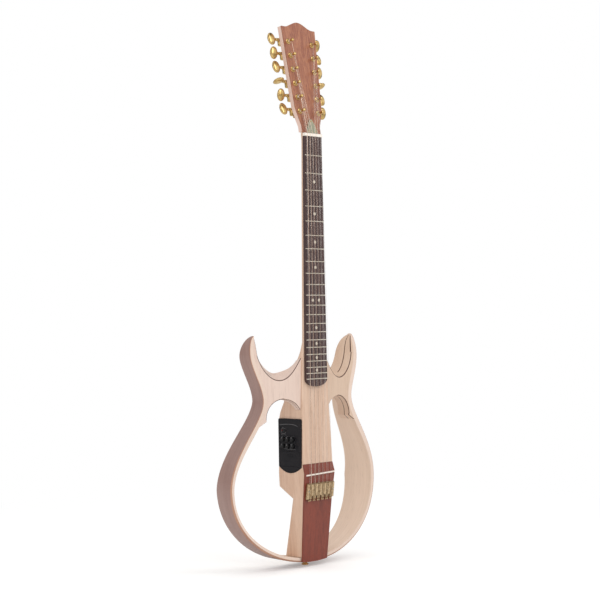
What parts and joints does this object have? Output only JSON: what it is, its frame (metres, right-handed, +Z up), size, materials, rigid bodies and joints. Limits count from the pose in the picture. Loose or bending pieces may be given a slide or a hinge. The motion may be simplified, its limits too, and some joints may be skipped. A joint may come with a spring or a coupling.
{
  "type": "silent guitar",
  "caption": "Frame-bodied silent guitar with paired strings, through-neck beam, bent side frames, tuning machines and a side preamp with a battery drawer.",
  "frame": {"origin": "middle of the outer face of the end pin at the tail", "axes": "+Z up along the neck to the headstock, -Y towards the player's listener (the strings face -Y), +X to the treble side"},
  "size_m": [0.402, 0.1017, 1.0548],
  "materials": {
    "tan_wood": "satin lacquer over lengthwise grain",
    "pale_wood": "satin lacquer",
    "head_wood": "gloss lacquer over striped veneer",
    "red_wood": "satin lacquer",
    "dark_wood": "oiled",
    "ivory": "polished",
    "pearl": "pearly",
    "steel": "drawn wire and rod",
    "bronze": "wound wire",
    "gold": "gold plated",
    "aged_brass": "aged, brushed",
    "black_plastic": "moulded, fine matt",
    "circuit": "lacquered board",
    "cell": "plain metal jacket"
  },
  "bodies": {
    "root": {"neck_beam": "tan_wood", "headstock": "tan_wood", "headstock_veneer": "head_wood", "truss_rod": "steel", "truss_rod_cover": "pearl", "nut": "ivory", "fingerboard": "dark_wood", "bass_frame": "pale_wood", "treble_frame": "pale_wood", "bass_shoulder": "pale_wood", "treble_shoulder": "pale_wood", "tail_plate": "red_wood", "saddle": "ivory", "piezo_strip": "aged_brass", "tailpiece": "aged_brass", "end_pin_jack": "gold", "preamp_case": "black_plastic", "preamp_panel": "black_plastic", "circuit_board": "circuit", "treble_tuner_strip": "gold", "bass_tuner_strip": "gold", "course_1": "steel", "course_2": "steel", "course_3": "bronze", "course_4": "bronze", "course_5": "bronze", "course_6": "bronze"},
    "tuner_button": {"tuner_button": "black_plastic"},
    "bass_knob": {"bass_knob": "black_plastic"},
    "middle_knob": {"middle_knob": "black_plastic"},
    "treble_knob": {"treble_knob": "black_plastic"},
    "volume_knob": {"volume_knob": "black_plastic"},
    "presence_knob": {"presence_knob": "black_plastic"},
    "notch_knob": {"notch_knob": "black_plastic"},
    "treble_key_1": {"treble_key_1": "gold"},
    "treble_post_1": {"treble_post_1": "gold"},
    "bass_key_1": {"bass_key_1": "gold"},
    "bass_post_1": {"bass_post_1": "gold"},
    "treble_key_2": {"treble_key_2": "gold"},
    "treble_post_2": {"treble_post_2": "gold"},
    "bass_key_2": {"bass_key_2": "gold"},
    "bass_post_2": {"bass_post_2": "gold"},
    "treble_key_3": {"treble_key_3": "gold"},
    "treble_post_3": {"treble_post_3": "gold"},
    "bass_key_3": {"bass_key_3": "gold"},
    "bass_post_3": {"bass_post_3": "gold"},
    "treble_key_4": {"treble_key_4": "gold"},
    "treble_post_4": {"treble_post_4": "gold"},
    "bass_key_4": {"bass_key_4": "gold"},
    "bass_post_4": {"bass_post_4": "gold"},
    "treble_key_5": {"treble_key_5": "gold"},
    "treble_post_5": {"treble_post_5": "gold"},
    "bass_key_5": {"bass_key_5": "gold"},
    "bass_post_5": {"bass_post_5": "gold"},
    "treble_key_6": {"treble_key_6": "gold"},
    "treble_post_6": {"treble_post_6": "gold"},
    "bass_key_6": {"bass_key_6": "gold"},
    "bass_post_6": {"bass_post_6": "gold"},
    "battery_drawer": {"battery_drawer": "black_plastic", "battery": "cell"}
  },
  "joints": [
    {"name": "treble_key_1_turn", "type": "hinge", "parent": "root", "child": "treble_key_1", "pos_m": [0.0255, -0.0143, 0.88302], "axis": [1, 0, 0], "continuous": true},
    {"name": "treble_post_1_turn", "type": "hinge", "parent": "root", "child": "treble_post_1", "pos_m": [0.0255, -0.03049, 0.87921], "axis": [0, 0.9877, -0.1564], "continuous": true},
    {"name": "treble_key_2_turn", "type": "hinge", "parent": "root", "child": "treble_key_2", "pos_m": [0.02694, -0.01002, 0.90999], "axis": [1, 0, 0], "continuous": true},
    {"name": "treble_post_2_turn", "type": "hinge", "parent": "root", "child": "treble_post_2", "pos_m": [0.02694, -0.02622, 0.90617], "axis": [0, 0.9877, -0.1564], "continuous": true},
    {"name": "treble_key_3_turn", "type": "hinge", "parent": "root", "child": "treble_key_3", "pos_m": [0.02838, -0.00575, 0.93695], "axis": [1, 0, 0], "continuous": true},
    {"name": "treble_post_3_turn", "type": "hinge", "parent": "root", "child": "treble_post_3", "pos_m": [0.02838, -0.02195, 0.93314], "axis": [0, 0.9877, -0.1564], "continuous": true},
    {"name": "treble_key_4_turn", "type": "hinge", "parent": "root", "child": "treble_key_4", "pos_m": [0.02982, -0.00148, 0.96391], "axis": [1, 0, 0], "continuous": true},
    {"name": "treble_post_4_turn", "type": "hinge", "parent": "root", "child": "treble_post_4", "pos_m": [0.02982, -0.01768, 0.9601], "axis": [0, 0.9877, -0.1564], "continuous": true},
    {"name": "treble_key_5_turn", "type": "hinge", "parent": "root", "child": "treble_key_5", "pos_m": [0.03126, 0.00279, 0.99088], "axis": [1, 0, 0], "continuous": true},
    {"name": "treble_post_5_turn", "type": "hinge", "parent": "root", "child": "treble_post_5", "pos_m": [0.03126, -0.01341, 0.98706], "axis": [0, 0.9877, -0.1564], "continuous": true},
    {"name": "treble_key_6_turn", "type": "hinge", "parent": "root", "child": "treble_key_6", "pos_m": [0.0327, 0.00706, 1.01784], "axis": [1, 0, 0], "continuous": true},
    {"name": "treble_post_6_turn", "type": "hinge", "parent": "root", "child": "treble_post_6", "pos_m": [0.0327, -0.00914, 1.01403], "axis": [0, 0.9877, -0.1564], "continuous": true},
    {"name": "bass_key_1_turn", "type": "hinge", "parent": "root", "child": "bass_key_1", "pos_m": [-0.0255, -0.0143, 0.88302], "axis": [-1, 0, 0], "continuous": true},
    {"name": "bass_post_1_turn", "type": "hinge", "parent": "root", "child": "bass_post_1", "pos_m": [-0.0255, -0.03049, 0.87921], "axis": [0, 0.9877, -0.1564], "continuous": true},
    {"name": "bass_key_2_turn", "type": "hinge", "parent": "root", "child": "bass_key_2", "pos_m": [-0.02694, -0.01002, 0.90999], "axis": [-1, 0, 0], "continuous": true},
    {"name": "bass_post_2_turn", "type": "hinge", "parent": "root", "child": "bass_post_2", "pos_m": [-0.02694, -0.02622, 0.90617], "axis": [0, 0.9877, -0.1564], "continuous": true},
    {"name": "bass_key_3_turn", "type": "hinge", "parent": "root", "child": "bass_key_3", "pos_m": [-0.02838, -0.00575, 0.93695], "axis": [-1, 0, 0], "continuous": true},
    {"name": "bass_post_3_turn", "type": "hinge", "parent": "root", "child": "bass_post_3", "pos_m": [-0.02838, -0.02195, 0.93314], "axis": [0, 0.9877, -0.1564], "continuous": true},
    {"name": "bass_key_4_turn", "type": "hinge", "parent": "root", "child": "bass_key_4", "pos_m": [-0.02982, -0.00148, 0.96391], "axis": [-1, 0, 0], "continuous": true},
    {"name": "bass_post_4_turn", "type": "hinge", "parent": "root", "child": "bass_post_4", "pos_m": [-0.02982, -0.01768, 0.9601], "axis": [0, 0.9877, -0.1564], "continuous": true},
    {"name": "bass_key_5_turn", "type": "hinge", "parent": "root", "child": "bass_key_5", "pos_m": [-0.03126, 0.00279, 0.99088], "axis": [-1, 0, 0], "continuous": true},
    {"name": "bass_post_5_turn", "type": "hinge", "parent": "root", "child": "bass_post_5", "pos_m": [-0.03126, -0.01341, 0.98706], "axis": [0, 0.9877, -0.1564], "continuous": true},
    {"name": "bass_key_6_turn", "type": "hinge", "parent": "root", "child": "bass_key_6", "pos_m": [-0.0327, 0.00706, 1.01784], "axis": [-1, 0, 0], "continuous": true},
    {"name": "bass_post_6_turn", "type": "hinge", "parent": "root", "child": "bass_post_6", "pos_m": [-0.0327, -0.00914, 1.01403], "axis": [0, 0.9877, -0.1564], "continuous": true},
    {"name": "bass_knob_turn", "type": "hinge", "parent": "root", "child": "bass_knob", "pos_m": [-0.0416, -0.014, 0.2493], "axis": [-1, 0, 0], "range_deg": [-140, 140]},
    {"name": "middle_knob_turn", "type": "hinge", "parent": "root", "child": "middle_knob", "pos_m": [-0.0416, -0.001, 0.2493], "axis": [-1, 0, 0], "range_deg": [-140, 140]},
    {"name": "treble_knob_turn", "type": "hinge", "parent": "root", "child": "treble_knob", "pos_m": [-0.0416, 0.012, 0.2493], "axis": [-1, 0, 0], "range_deg": [-140, 140]},
    {"name": "volume_knob_turn", "type": "hinge", "parent": "root", "child": "volume_knob", "pos_m": [-0.0416, -0.014, 0.2358], "axis": [-1, 0, 0], "range_deg": [-140, 140]},
    {"name": "presence_knob_turn", "type": "hinge", "parent": "root", "child": "presence_knob", "pos_m": [-0.0416, -0.001, 0.2358], "axis": [-1, 0, 0], "range_deg": [-140, 140]},
    {"name": "notch_knob_turn", "type": "hinge", "parent": "root", "child": "notch_knob", "pos_m": [-0.0416, 0.012, 0.2358], "axis": [-1, 0, 0], "range_deg": [-140, 140]},
    {"name": "tuner_button_press", "type": "slide", "parent": "root", "child": "tuner_button", "axis": [1, 0, 0], "range_m": [0, 0.0008], "stiffness_N_per_m": 500, "springref_m": -0.0003},
    {"name": "battery_drawer_slide", "type": "slide", "parent": "root", "child": "battery_drawer", "axis": [-1, 0, 0], "range_m": [0, 0.018]}
  ],
  "couplings": [
    {"joint": "treble_post_1_turn", "follows": "treble_key_1_turn", "ratio": 0.071429},
    {"joint": "treble_post_2_turn", "follows": "treble_key_2_turn", "ratio": 0.071429},
    {"joint": "treble_post_3_turn", "follows": "treble_key_3_turn", "ratio": 0.071429},
    {"joint": "treble_post_4_turn", "follows": "treble_key_4_turn", "ratio": 0.071429},
    {"joint": "treble_post_5_turn", "follows": "treble_key_5_turn", "ratio": 0.071429},
    {"joint": "treble_post_6_turn", "follows": "treble_key_6_turn", "ratio": 0.071429},
    {"joint": "bass_post_1_turn", "follows": "bass_key_1_turn", "ratio": -0.071429},
    {"joint": "bass_post_2_turn", "follows": "bass_key_2_turn", "ratio": -0.071429},
    {"joint": "bass_post_3_turn", "follows": "bass_key_3_turn", "ratio": -0.071429},
    {"joint": "bass_post_4_turn", "follows": "bass_key_4_turn", "ratio": -0.071429},
    {"joint": "bass_post_5_turn", "follows": "bass_key_5_turn", "ratio": -0.071429},
    {"joint": "bass_post_6_turn", "follows": "bass_key_6_turn", "ratio": -0.071429}
  ]
}
